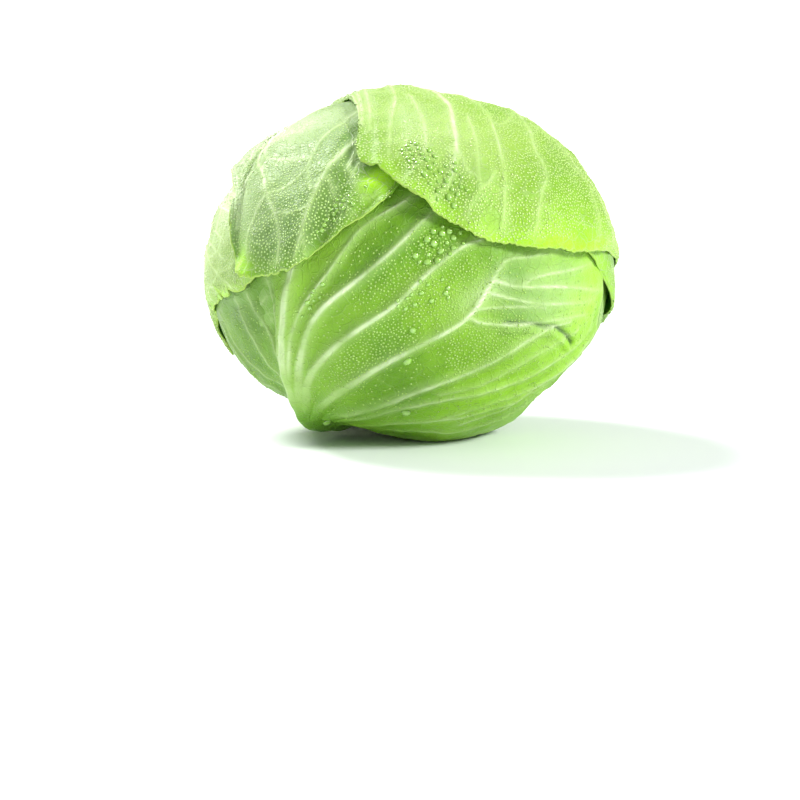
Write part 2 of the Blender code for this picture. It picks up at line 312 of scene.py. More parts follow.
def even_margin(first, step, reaches):
    """A margin whose turns round the middle stand this many degrees apart."""
    return [(first + step * i, reach) for i, reach in enumerate(reaches)]


LEAVES = [
    Leaf("under_leaf", (-100, -25), 0, 34, even_margin(-125, 41.7, (62, 66, 66, 62, 66, 66, 62)),
         ((-40, 0, 40), (20, 30, 20)), (0, 1.6, 8)),
    Leaf("back_leaf", (172, -5), 0, 34, even_margin(-125, 41.7, (84, 80, 72, 66, 72, 80, 84)),
         ((-60, 0, 60), (20, 40, 20)), (0, 2.2, 9)),
    Leaf("right_leaf", (118, -8), 0, 34, even_margin(-125, 41.7, (84, 76, 66, 62, 66, 76, 80)),
         ((-60, 0, 60), (20, 40, 20)), (0, 2.2, 9)),
    Leaf("front_leaf", (-3, -12.5), -27, 40, even_margin(-150, 50, (76, 78, 64, 58, 73, 77, 86)),
         ((-75, -45, -35, -42, -38, -20, 10), (30, 55, 60, 66, 34, 22, 20)), (-0.3, 4.6, 11),
         midrib_bend=0.42),
    Leaf("left_leaf", (-128, 5), 0, 34,
         [(-130, 78), (-88, 72), (-45, 68), (0, 68), (42, 76), (74, 90), (100, 80), (112, 60), (125, 48),
          (141, 53)],
         ((-40, -19, -20, 9, 34), (59, 46, 95, 95, 49)), (0, 2.2, 9), 0.0008),
    Leaf("over_left_leaf", (120, 60), 0, 40,
         [(-105, 78), (-72, 70), (-42, 68), (-18, 69), (0, 75), (2.5, 85), (8, 95.5), (12.5, 104),
          (18, 112.5), (29, 117), (38.5, 115), (46, 101), (57, 90), (74, 83.5), (92, 82), (108, 83)],
         ((-24, -11, -2, 7, 12), (12, 27, 91, 89, 44)), (0.07, 2.6, 10), 0.0012),
    Leaf("over_right_leaf", (170, 60), -8, 40,
         [(-105, 76), (-82, 80), (-60, 83), (-44, 87.5), (-25, 95.5), (-10, 100), (3, 102), (13, 100.5),
          (23, 95.5), (31, 89.5), (38, 83.5), (42.5, 80.5), (43.5, 80), (44.3, 78.5), (45, 76.5), (45.6, 74),
          (46, 71)],
         ((-11, 5, -9, -15, 6), (26, 62, 95, 113, 128)), (0.0, 2.6, 10), 0.001),
]


# The s and w along the left foot of the front leaf's midrib. What lies beyond it is lower, and darker with
# painted shade: how far it drops, over how much of w that sets in, and how strong the painted shade is
MIDRIB_WAY = ([0.0, 0.1, 0.2, 0.28, 0.355, 0.43, 0.6, 1.0],
              [0.1, 0.08, -0.05, -0.24, -0.33, -0.345, -0.355, -0.375])
BEYOND_DROP, BEYOND_FADE, BEYOND_SHADE = 2.2 * MM, 0.05, 0.55

# Half widths and heights, at their two ends, that several drawn veins have
SIDE = (2.2, 0.7), (0.8, 0.4)
TWIG = (0.8, 0.6), (0.4, 0.3)
THREAD = (0.7, 0.6), (0.35, 0.3)

# Veins drawn one by one: the places (w, s) in thousandths, then half widths and heights, and the skew if any
FRONT_VEINS = [
    ([(150, 0), (140, 100), (50, 200), (-120, 280), (-240, 355), (-270, 430), (-280, 500), (-285, 600),
      (-290, 700), (-300, 850), (-310, 980)], (7.5, 3.6), (3.8, 1.6), -0.35),
    ([(-20, 220), (-420, 295), (-660, 375), (-760, 560), (-775, 725), (-780, 900)], (2, 0.8), (1, 0.5)),
    ([(-50, 245), (-500, 370), (-590, 500), (-615, 640), (-620, 850)], (1.9, 0.8), (1.1, 0.5)),
    ([(-180, 280), (-335, 365), (-455, 505), (-530, 630), (-540, 800)], (1.7, 0.8), (1, 0.5)),
    ([(-230, 310), (-305, 395), (-375, 505), (-415, 630), (-420, 800)], (1.6, 0.8), (0.9, 0.5)),
    ([(-120, 300), (-180, 400), (-200, 465), (-160, 535), (-80, 620), (-70, 735), (-20, 830), (0, 950)],
      (2.9, 1.6), (1.4, 0.9)),
    ([(100, 200), (60, 280), (0, 355), (-25, 470), (45, 580), (70, 675), (65, 805), (60, 950)],
      (5.4, 2.2), (2.8, 1.3)),
    ([(170, 180), (130, 260), (105, 310), (135, 410), (175, 545), (170, 665), (175, 760), (210, 830)],
      (5.6, 2), (2.9, 1.1)),
    ([(220, 180), (240, 270), (265, 395), (285, 530), (290, 620), (260, 715)], (5.6, 2.4), (2.8, 1.5)),
    ([(260, 715), (250, 750), (250, 780), (275, 820), (300, 900)], (2.1, 0.9), (1.1, 0.5)),
    ([(260, 715), (300, 740), (350, 810), (435, 940), (450, 980)], (2.4, 0.9), (1.2, 0.5)),
    ([(290, 620), (320, 630), (365, 685), (410, 775), (460, 880)], (2.2, 0.9), (1.1, 0.5)),
    ([(280, 690), (310, 710), (360, 760), (420, 860), (450, 930)], (1.6, 0.7), (0.8, 0.4)),
    ([(300, 740), (310, 790), (350, 880), (380, 970)], (1.4, 0.7), (0.7, 0.4)),
    ([(285, 640), (300, 660), (340, 720), (370, 760)], (1.3, 0.7), (0.7, 0.4)),
    ([(300, 180), (345, 255), (385, 345), (395, 455), (410, 540), (410, 625), (415, 740), (440, 820)],
      (4.6, 1.4), (2.2, 0.8)),
    ([(360, 170), (425, 325), (455, 430), (485, 545), (515, 675), (525, 830), (530, 950)],
      (2.8, 0.8), (1.2, 0.5)),
    ([(450, 120), (530, 330), (570, 500), (600, 700), (620, 950)], (2, 0.7), (0.9, 0.4)),
    ([(550, 100), (630, 350), (680, 600), (710, 950)], (1.6, 0.6), (0.8, 0.4)),
    ([(650, 100), (750, 400), (800, 700), (820, 950)], (1.4, 0.6), (0.7, 0.4)),
    ([(440, 460), (460, 550), (460, 680), (480, 850)], (1.1, 0.6), (0.6, 0.4)),
    ([(560, 400), (550, 560), (580, 750), (570, 920)], (1, 0.6), (0.6, 0.4)),
    ([(-345, 245), (-610, 285), (-840, 475), (-845, 625), (-830, 760), (-820, 885)], (2.4, 1.6), (1.2, 0.9)),
    ([(615, 500), (615, 555), (615, 615), (595, 670), (580, 730), (580, 800), (580, 875), (560, 925),
      (545, 975)], (1.2, 2.6), (0.6, 1.6)),
]
OVER_LEFT_VEINS = [
    ([(40, 0), (20, 250), (0, 500), (0, 700), (5, 805), (40, 845), (60, 880), (62, 930), (55, 955),
      (50, 985)], (5.5, 0.9), (1.4, 0.5)),
    ([(150, 50), (220, 300), (280, 550), (330, 700), (345, 825), (265, 860), (215, 895), (165, 925),
      (130, 955), (115, 985)], (2.6, 0.7), (0.9, 0.4)),
    ([(55, 950), (25, 975), (5, 990)], *TWIG),
    ([(215, 895), (245, 920), (265, 950), (245, 975)], (0.9, 0.6), (0.5, 0.3)),
    ([(45, 885), (-10, 915), (-80, 945), (-150, 965), (-215, 985)], (1.1, 0.6), (0.5, 0.3)),
    ([(-50, 100), (-100, 400), (-100, 650), (-30, 800), (-10, 870), (-90, 910), (-200, 955), (-265, 965)],
      (2.4, 0.6), (0.8, 0.3)),
    ([(100, 100), (160, 350), (200, 600), (225, 695), (345, 735), (410, 830), (470, 885), (520, 960)],
      (2.4, 0.7), (0.8, 0.4)),
    ([(80, 350), (90, 600), (105, 770), (120, 805), (125, 840), (115, 870), (80, 900)],
      (1.4, 0.7), (0.6, 0.4)),
    ([(300, 100), (420, 350), (500, 600), (560, 800), (600, 960)], (2.4, 0.7), (0.9, 0.4)),
    ([(450, 100), (620, 400), (720, 700), (780, 960)], *SIDE),
    ([(-200, 100), (-260, 400), (-300, 700), (-340, 930)], *SIDE),
    ([(-400, 100), (-500, 400), (-560, 700), (-600, 930)], *SIDE),
    ([(-600, 100), (-720, 400), (-780, 700), (-800, 930)], (2, 0.7), (0.8, 0.4)),
    ([(345, 800), (300, 830), (200, 845), (125, 850)], *TWIG),
    ([(300, 850), (360, 880), (400, 930), (380, 970)], *TWIG),
    ([(170, 920), (110, 925), (65, 920)], *THREAD),
    ([(210, 895), (160, 885), (120, 865)], *THREAD),
    ([(0, 820), (-50, 860), (-60, 900)], *THREAD),
]
OVER_RIGHT_VEINS = [
    ([(20, 0), (0, 300), (-40, 550), (-100, 700), (-110, 770), (-95, 835), (-85, 890), (-65, 935),
      (-30, 965), (0, 985)], (5.5, 0.9), (1.6, 0.5)),
    ([(60, 100), (60, 400), (70, 650), (100, 770), (155, 840), (190, 910), (200, 960)], *SIDE),
    ([(-60, 100), (-120, 400), (-200, 650), (-245, 755), (-240, 830), (-245, 880), (-250, 945), (-255, 980)],
      (2.6, 0.9), (1, 0.5)),
    ([(-140, 100), (-220, 400), (-330, 620), (-370, 720), (-350, 830), (-360, 890), (-345, 930),
      (-340, 980)], (2.4, 0.8), (0.9, 0.4)),
    ([(-200, 100), (-300, 400), (-400, 650), (-425, 740), (-435, 800), (-470, 835), (-510, 900),
      (-530, 970)], (2.4, 0.8), (0.9, 0.4)),
    ([(20, 750), (15, 880), (40, 930), (85, 965), (135, 990)], (1.2, 0.6), (0.6, 0.3)),
    ([(-160, 800), (-155, 910), (-165, 935), (-135, 960), (-120, 985)], (1.1, 0.6), (0.5, 0.3)),
    ([(-220, 900), (-190, 925), (-165, 935)], (0.9, 0.7), (0.4, 0.35)),
    ([(-85, 880), (-120, 915), (-155, 920)], *TWIG),
    ([(120, 100), (200, 400), (300, 700), (340, 930)], *SIDE),
    ([(220, 100), (400, 400), (550, 700), (600, 930)], *SIDE),
    ([(350, 100), (600, 400), (760, 700), (820, 930)], (2, 0.7), (0.8, 0.4)),
    ([(-300, 100), (-450, 400), (-580, 700), (-640, 950)], (2.4, 0.7), (0.9, 0.4)),
    ([(-420, 100), (-620, 400), (-760, 700), (-820, 950)], *SIDE),
    ([(-370, 720), (-300, 780), (-245, 800)], *TWIG),
]
DRAWN = {"front_leaf": FRONT_VEINS, "over_left_leaf": OVER_LEFT_VEINS, "over_right_leaf": OVER_RIGHT_VEINS}

# Veins grown by rule: the seed, and the w of the laterals
LATERALS = (-0.8, -0.6, -0.4, -0.2, 0.2, 0.4, 0.6, 0.8)
GROWN = {"under_leaf": (3, (-0.6, -0.3, 0.3, 0.6)), "back_leaf": (5, LATERALS), "right_leaf": (7, LATERALS),
         "left_leaf": (11, LATERALS)}


def veins_of(leaf):
    if leaf.name in GROWN:
        return grown_veins(leaf, *GROWN[leaf.name])
    return [Vein(leaf, np.array(places) / 1000, *shape) for places, *shape in DRAWN[leaf.name]]


def outward(u, height):
    """Points at a height over the heart's surface, along its normal."""
    for way, depth, spread in FLATS:
        height = height - depth * np.exp(-(np.arccos(np.clip(u @ way, -1, 1)) / spread) ** 2)
    return HEART_CENTRE + u * HEART + unit(u / HEART) * height[:, None]


def stack_height(u, k):
    """Outer surface of leaf k over the heart."""
    total = LEAVES[k].rib(u)
    for i, leaf in enumerate(LEAVES[:k + 1]):
        total += LEAF_PITCH * leaf.cover(u)
        if i < k:
            total += leaf.wide_rib(u)
    return total


def over_floor(points, u, k):
    """Presses points of leaf k up, so that the leaves outside it still fit between it and the floor."""
    room = sum((LEAF_PITCH * leaf.cover(u, SHORT_DRAPE) for leaf in LEAVES[k + 1:]), np.zeros(len(u)))
    over = points[:, 2] - room
    mix = np.clip(0.5 + 0.5 * over / FLOOR_ROUNDING, 0, 1)
    lifted = room + over * mix + FLOOR_ROUNDING * mix * (1 - mix)
    return np.concatenate([points[:, :2], lifted[:, None]], 1)


def exposed(u, k, drape=SHORT_DRAPE, pad=LEAF_PAD):
    """1 where nothing lies over leaf k."""
    shown = np.ones(len(u))
    for leaf in LEAVES[k + 1:]:
        shown *= 1 - leaf.cover(u, drape, pad)
    return shown


WAVES = 7


def waves(p, seed, length):
    """Smooth random swell over points, about -1 to 1, its waves this many metres long."""
    rng = np.random.default_rng(seed)
    total = np.zeros(len(p))
    for _ in range(WAVES):
        way = unit(rng.normal(size=3)) * 2 * np.pi / (length * rng.uniform(0.75, 1.5))
        total += np.sin(p @ way + rng.uniform(0, 2 * np.pi))
    return total / np.sqrt(WAVES * 0.5) / 1.6


# The w past which a leaf's columns crowd together, along a side edge that runs like a margin, and its fade
CROWDED, CROWDED_FADE = {"over_right_leaf": 0.27}, 0.08
# The s from which the nibbles pull a leaf's rows in
NIBBLED_FROM = 0.86

# How far the margin of each leaf is nibbled in, as waves over w: (waves across the leaf, millimetres)
NIBBLES = {
    "front_leaf": [(9, 1.4), (23, 0.8), (61, 0.4)],
    "left_leaf": [(11, 1.0), (29, 0.9), (83, 0.6)],
    "over_left_leaf": [(17, 0.9), (43, 0.6), (97, 0.5)],
    "over_right_leaf": [(13, 0.8), (41, 0.5), (109, 0.55)],
}
PLAIN_NIBBLES = [(10, 1.2), (27, 0.8), (67, 0.4)]


def nibble(leaf, w):
    """How far in from its even line the margin runs at w, in metres."""
    total = np.zeros_like(w)
    for i, (count, depth) in enumerate(NIBBLES.get(leaf.name, PLAIN_NIBBLES)):
        wave = np.sin(np.pi * count * w + 1.7 * i + 0.8 * np.sin(np.pi * count * 0.37 * w))
        total += depth * 0.5 * (1 + wave)
    for middle, half, depth in NOTCHES.get(leaf.name, ()):
        total += depth * np.clip(1 - np.abs(w - middle) / half, 0, 1) ** 0.8
    return total * MM


# Where a margin stands off what lies under it, or is pressed down: middle and half width over w, then how
# high and how far in, in millimetres
LIFTS = {
    "front_leaf": [(0.45, 0.25, 1.2, 6)],
    "left_leaf": [(0.42, 0.1, 1.6, 6), (0.76, 0.2, -2.0, 14)],
    "over_left_leaf": [(0.46, 0.2, 2.2, 5), (0.27, 0.06, 4.2, 7), (0.0, 0.14, 1.2, 5), (-0.28, 0.1, 3.2, 9),
                       (-0.85, 0.3, -2.2, 22)],
    "over_right_leaf": [(0.1, 0.14, 2.6, 8), (-0.2, 0.2, 1.0, 6), (-0.76, 0.2, -1.8, 14)],
}
# Notches torn into a margin: middle and half width over w, how deep in millimetres
NOTCHES = {
    "left_leaf": [(0.475, 0.012, 7.0), (0.415, 0.01, 4.5), (0.53, 0.016, 3.0)],
    "over_left_leaf": [(0.425, 0.01, 3.2), (0.085, 0.02, 1.6)],
    "over_right_leaf": [(0.265, 0.012, 3.0), (0.02, 0.015, 1.4)],
    "front_leaf": [(0.6, 0.02, 3.0)],
}


# The split in the front leaf's skin: its places, then depth and half width in millimetres. Its lower lip: how
# far off over w and s, its height and half width
SPLIT = ([(0.345, 0.665), (0.38, 0.715), (0.405, 0.74), (0.42, 0.765), (0.455, 0.795), (0.5, 0.83),
          (0.51, 0.835)], 1.4, 1.1)
LIP = (0.014, -0.012), 0.9, 1.5


def split(leaf, points, relief):
    """Cuts the split into the relief, its lower lip standing up, and gives how deep it is, 0 to 1."""
    places, deep, half = SPLIT
    (off_w, off_s), high, lip_half = LIP
    cut = Vein(leaf, places, (half, half), (deep, deep))
    lip = Vein(leaf, [(w + off_w, s + off_s) for w, s in places], (lip_half, lip_half), (high, high))
    groove, unused = np.zeros(len(points)), np.zeros(len(points))
    lip.press(points, relief, unused)
    cut.press(points, groove, unused)
    relief -= groove
    return groove / (deep * MM)


def lift(leaf, w, margin):
    """How far the sheet stands off at w and this distance from the margin, in metres."""
    total = np.zeros_like(w)
    for middle, half, high, reach in LIFTS.get(leaf.name, ()):
        inward = np.clip(1 - margin / (reach * MM), 0, 1)
        total += high * MM * np.exp(-((w - middle) / half) ** 2) * inward ** 1.6
    return total


def even_columns(leaf):
    """The w of evenly spaced columns, and the leaf's width over them in metres."""
    w = np.linspace(-1, 1, 401)
    rings = np.stack([leaf.at(w, np.full_like(w, s)) for s in (0.55, 0.75, 1.0)])
    steps = np.linalg.norm(np.diff(rings, axis=1), axis=2).max(0) * BALL_RADIUS
    return w, np.concatenate([[0], np.cumsum(steps)])


def leaf_sheet(k):
    """A flat grid over leaf k's (w, s), held by x and y. It is finer where the leaf shows, finest ahead."""
    leaf = LEAVES[k]
    w, across = even_columns(leaf)
    columns, rows = round(across[-1] / SHEET_STEP), round(leaf.lengths.max() / SHEET_STEP)
    bm = bmesh.new()
    bmesh.ops.create_grid(bm, x_segments=columns, y_segments=rows, size=1)
    flat = np.array([vertex.co for vertex in bm.verts])
    place = np.stack([np.interp((flat[:, 0] + 1) / 2 * across[-1], across, w), (flat[:, 1] + 1) / 2], 1)
    u = leaf.at(place[:, 0], place[:, 1])
    seen = exposed(u, k) > SHOWN_FROM
    ahead = seen & (u[:, 1] < AHEAD)
    for vertex, (x, y) in zip(bm.verts, place):
        vertex.co = (x, y, 0)
    front, shown = ({edge for face in bm.faces if any(at[vertex.index] for vertex in face.verts)
                     for edge in face.edges} for at in (ahead, seen))
    for edges, cuts in ((shown - front, BACK_CUTS), (front, FRONT_CUTS)):
        edges = sorted(edges, key=lambda edge: edge.index)
        bmesh.ops.subdivide_edges(bm, edges=edges, cuts=cuts, use_grid_fill=True)
    return bm


def new_object(name, bm, finish):
    mesh = bpy.data.meshes.new(name)
    bm.to_mesh(mesh)
    bm.free()
    mesh.polygons.foreach_set("use_smooth", [True] * len(mesh.polygons))
    mesh.materials.append(finish)
    obj = bpy.data.objects.new(name, mesh)
    bpy.context.scene.collection.objects.link(obj)
    return obj


def read(items, field, width=1):
    """This field of all items: an array of numbers, or of rows this wide."""
    values = np.empty(len(items) * width, np.float32)
    items.foreach_get(field, values)
    return values.astype(float).reshape(-1, width).squeeze()


def give(mesh, name, values):
    """Stores one number a vertex, for the leaf's material."""
    mesh.attributes.new(name, "FLOAT", "POINT").data.foreach_set("value", values.astype(np.float32))


# Small swells of every leaf: the first seed, how high, and the waves' length in metres
SWELLS = [(10, 0.45 * MM, 0.024), (40, 0.25 * MM, 0.008)]
RUFFLES = 31
# How far a leaf sinks and over what distance, in metres: towards its margin, and towards a side edge, which
# sinks by CROWDED_SINK more where the columns crowd
MARGIN_SINK, MARGIN_SLOPE = 0.7 * MM, 3.5 * MM
SIDE_SINK, CROWDED_SINK, SIDE_SLOPE = 0.4 * MM, 0.5 * MM, 6 * MM


def add_leaf(k, finish):
    leaf = LEAVES[k]
    obj = new_object(leaf.name + "_skin", leaf_sheet(k), finish)
    mesh = obj.data
    w, s = read(mesh.vertices, "co", 3)[:, :2].T
    way = np.interp(w, np.linspace(-1, 1, leaf.CELLS + 1), leaf.lengths)
    crowded = smooth_step((w - CROWDED.get(leaf.name, 1.0)) / CROWDED_FADE)
    nibbled = smooth_step((s - NIBBLED_FROM) / (1 - NIBBLED_FROM))
    u = leaf.at(w, s * (1 - nibbled * nibble(leaf, w) * (1 - crowded) / way))
    from_side = np.linalg.norm(u - leaf.at(np.where(w > 0, 1.0, -1.0), s), axis=1) * BALL_RADIUS
    margin = np.minimum((1 - s) * way, from_side)
    points = u * BALL_RADIUS
    relief, edge = np.zeros(len(u)), np.full(len(u), -9 * MM)
    for vein in veins_of(leaf):
        vein.press(points, relief, edge)
    painted_shade = np.zeros(len(u))
    if leaf.name == "front_leaf":
        cut = split(leaf, points, relief)
        beyond = smooth_step((np.interp(s, *MIDRIB_WAY) - w) / BEYOND_FADE)
        relief -= BEYOND_DROP * beyond * smooth_step((w + 1.0) / 0.5) * smooth_step((s - 0.1) / 0.15)
        # Painted shade beyond the midrib's foot and in the split
        painted_shade = np.maximum(BEYOND_SHADE * beyond * (0.7 + 0.3 * waves(points, 88, 0.02)),
                          0.95 * smooth_step(cut * 1.3))
    for seed, high, length in SWELLS:
        relief += high * waves(points, seed + k, length)
    clear, shown = exposed(u, k, RELIEF_DRAPE, 0), exposed(u, k)
    height = stack_height(u, k) + relief * (COVERED_RELIEF + (1 - COVERED_RELIEF) * clear)
    height += leaf.ruffle * shown * s ** 6 * (1 + np.sin(RUFFLES * w) * (1 - crowded))
    height -= MARGIN_SINK * smooth_step(1 - margin / MARGIN_SLOPE) * shown
    height -= (SIDE_SINK + CROWDED_SINK * crowded) * smooth_step(1 - from_side / SIDE_SLOPE) * shown
    height += lift(leaf, w, (1 - s) * way) * shown
    placed = over_floor(outward(u, height), u, k)
    mesh.vertices.foreach_set("co", placed.astype(np.float32).ravel())
    # Patches of painted sheen, of young green and painted light, and of painted shade, over w and s
    pale, young_and_lit, shade_patches = (spread_over(patches.get(leaf.name, ()), w, s) for patches in (PALE, YOUNG_AND_LIT, SHADE_PATCHES))
    for name, values in {
            "vein": edge / MM, "margin": margin / MM, "from_stem": s, "painted_sheen": np.maximum(painted_sheen(u), pale),
            "young_and_lit": young_and_lit, "painted_shade": np.maximum(painted_shade, shade_patches), "across": w}.items():
        give(mesh, name, values)
    mesh.update()
    thickness = obj.modifiers.new("thickness", "SOLIDIFY")
    thickness.thickness = LEAF_THICKNESS
    thickness.offset = -1
    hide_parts(leaf.name)
    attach(obj, "root")
    return obj


# The painted sheen, pale where the outer leaves face the light at the upper left: its middle, how far it
# reaches in radians, how pale
PAINTED_SHEEN_SPOT = (unit(np.array([-0.82, 0.02, 0.62])), 0.6, 0.9)


def painted_sheen(u):
    """How far the painted sheen pales the green at u."""
    middle, reach, most = PAINTED_SHEEN_SPOT
    away = np.arccos(np.clip(u @ middle, -1, 1))
    patches = 0.75 + 0.35 * waves(u * BALL_RADIUS, 91, 0.03)
    return most * np.exp(-(away / reach) ** 2) * np.clip(patches, 0, 1.2)


# Where a margin is young and yellow, and, on the front leaf at w 0.53 and s 0.55, a patch of painted light
# that stands for light thrown up from the floor: the place and half widths over w and s, how much
YOUNG_AND_LIT = {
    "over_left_leaf": [((0.275, 0.995), (0.06, 0.033), 1.0), ((-0.2, 0.925), (0.1, 0.03), 1.0),
                       ((-0.28, 0.965), (0.08, 0.03), 0.6), ((0.0, 1.0), (0.5, 0.02), 0.35),
                       ((-0.85, 1.0), (0.25, 0.1), 0.6)],
    "over_right_leaf": [((0.0, 1.0), (0.6, 0.02), 0.4), ((-0.45, 0.99), (0.2, 0.06), 0.4)],
    "left_leaf": [((0.45, 1.0), (0.1, 0.04), 0.6), ((0.7, 1.0), (0.18, 0.08), 0.6)],
    "front_leaf": [((0.6, 0.85), (0.25, 0.12), 0.25), ((0.42, 0.93), (0.1, 0.12), 0.3),
                   # Painted light: this patch stands for light thrown up from the floor
                   ((0.53, 0.55), (0.1, 0.25), 0.3)],
}
# Patches of painted sheen on a leaf, in the same way
PALE = {
    "front_leaf": [((0.36, 0.8), (0.09, 0.12), 0.16), ((0.27, 0.68), (0.025, 0.06), 0.25)],
    "over_right_leaf": [((0.05, 0.86), (0.25, 0.08), 0.2)],
}
# Patches of painted shade on a leaf, in the same way
SHADE_PATCHES = {
    "over_left_leaf": [((0.1, 0.955), (0.28, 0.045), 0.5)],
    "front_leaf": [((0.14, 0.36), (0.12, 0.1), 0.22), ((0.36, 0.36), (0.12, 0.1), 0.25),
                   ((0.0, 0.62), (0.06, 0.2), 0.15)],
}


def spread_over(places, w, s):
    """How much these places have a say at w and s, 0 to 1."""
    total = np.zeros_like(w)
    for (at_w, at_s), (half_w, half_s), most in places:
        total += most * np.exp(-((w - at_w) / half_w) ** 2 - ((s - at_s) / half_s) ** 2)
    return np.clip(total, 0, 1)


class Number:
    """A number that a shader socket holds, so that a material's maths reads as plain arithmetic."""

    def __init__(self, finish, socket):
        self.finish, self.socket = finish, socket

    def maths(self, operation, *values):
        node = self.finish.node("ShaderNodeMath", {"operation": operation}, values)
        return Number(self.finish, node.outputs[0])

    def __add__(self, other):
        return self.maths("ADD", self, other)

    def __rsub__(self, other):
        return self.maths("SUBTRACT", other, self)

    def __mul__(self, other):
        return self.maths("MULTIPLY", self, other)

    __radd__ = __add__
    __rmul__ = __mul__

    def between(self, low, high):
        """0 at low, 1 at high, and smooth from one to the other."""
        settings = {"interpolation_type": "SMOOTHSTEP"}
        node = self.finish.node("ShaderNodeMapRange", settings, (self, low, high))
        return Number(self.finish, node.outputs[0])


class Finish:
    """A material that is built node by node round one Principled shader."""

    # Where a Mix node that mixes colours has its sockets
    MIX_SHARE, MIX_A, MIX_B, MIX_COLOUR = 0, 6, 7, 2

    def __init__(self, name, **settings):
        self.material = bpy.data.materials.new(name)
        self.material.use_nodes = True
        self.tree = self.material.node_tree
        self.shader = self.tree.nodes["Principled BSDF"]
        for socket, value in settings.items():
            self.shader.inputs[socket.replace("_", " ")].default_value = value
        self.place = self.node("ShaderNodeTexCoord", {}, ()).outputs["Object"]

    def node(self, kind, settings, inputs):
        """A node with its settings made, and its inputs given in order or by name."""
        node = self.tree.nodes.new(kind)
        for setting, value in settings.items():
            setattr(node, setting, value)
        pairs = inputs.items() if isinstance(inputs, dict) else enumerate(inputs)
        for key, value in pairs:
            if isinstance(value, Number):
                value = value.socket
            if isinstance(value, bpy.types.NodeSocket):
                self.tree.links.new(value, node.inputs[key])
            else:
                node.inputs[key].default_value = value
        return node

    def attribute(self, name):
        node = self.node("ShaderNodeAttribute", {"attribute_name": name}, ())
        return Number(self, node.outputs["Fac"])

    def noise(self, scale, detail):
        node = self.node("ShaderNodeTexNoise", {}, {"Vector": self.place, "Scale": scale, "Detail": detail})
        return Number(self, node.outputs[0])

    def cell_edges(self, scale, bend_scale, bend):
        """Distance to the edges of cells, whose places are pushed about by a noise."""
        noise = self.node("ShaderNodeTexNoise", {}, {"Vector": self.place, "Scale": bend_scale})
        bent = self.node("ShaderNodeVectorMath", {"operation": "MULTIPLY_ADD"},
                         (noise.outputs["Color"], (bend,) * 3, self.place))
        node = self.node("ShaderNodeTexVoronoi", {"feature": "DISTANCE_TO_EDGE"},
                         {"Vector": bent.outputs[0], "Scale": scale})
        return Number(self, node.outputs["Distance"])

    def mix(self, share, a, b):
        """Colour a, with this share of colour b."""
        a, b = (colour if isinstance(colour, bpy.types.NodeSocket) else (*colour, 1) for colour in (a, b))
        inputs = {self.MIX_SHARE: share, self.MIX_A: a, self.MIX_B: b}
        node = self.node("ShaderNodeMix", {"data_type": "RGBA"}, inputs)
        return node.outputs[self.MIX_COLOUR]

    def bump(self, height, distance, strength=1.0):
        node = self.node("ShaderNodeBump", {}, {"Strength": strength, "Distance": distance, "Height": height})
        self.tree.links.new(node.outputs[0], self.shader.inputs["Normal"])

    def feed(self, socket, value):
        self.tree.links.new(value.socket if isinstance(value, Number) else value, self.shader.inputs[socket])


VEIN_PALE = (0.44, 0.58, 0.25)
# Painted highlight on the droplets' crowns
DEW_HIGHLIGHT = (0.62, 0.8, 0.34)
# Painted light: the lighter rim along the margins, where the thin edge lets light through
RIM_PALE = (0.42, 0.6, 0.12)
# Painted sheen: the pale green where the sheen falls on leaves and droplets
SHEEN_PALE = (0.8, 0.92, 0.62)
# Young yellow green, also used as painted light
YOUNG_AND_LIT_GREEN = (0.38, 0.78, 0.006)
# Painted shade: the dark green where shade falls
SHADE_GREEN = (0.04, 0.12, 0.003)
# Painted highlight along the crests of the veins
VEIN_CREST = (0.8, 0.92, 0.62)
# Painted shade on the skin between the droplets
MIST_SHADE = (0.05, 0.15, 0.004)
# Painted sheen on the veins
SHEEN_VEIN = (0.9, 0.96, 0.8)


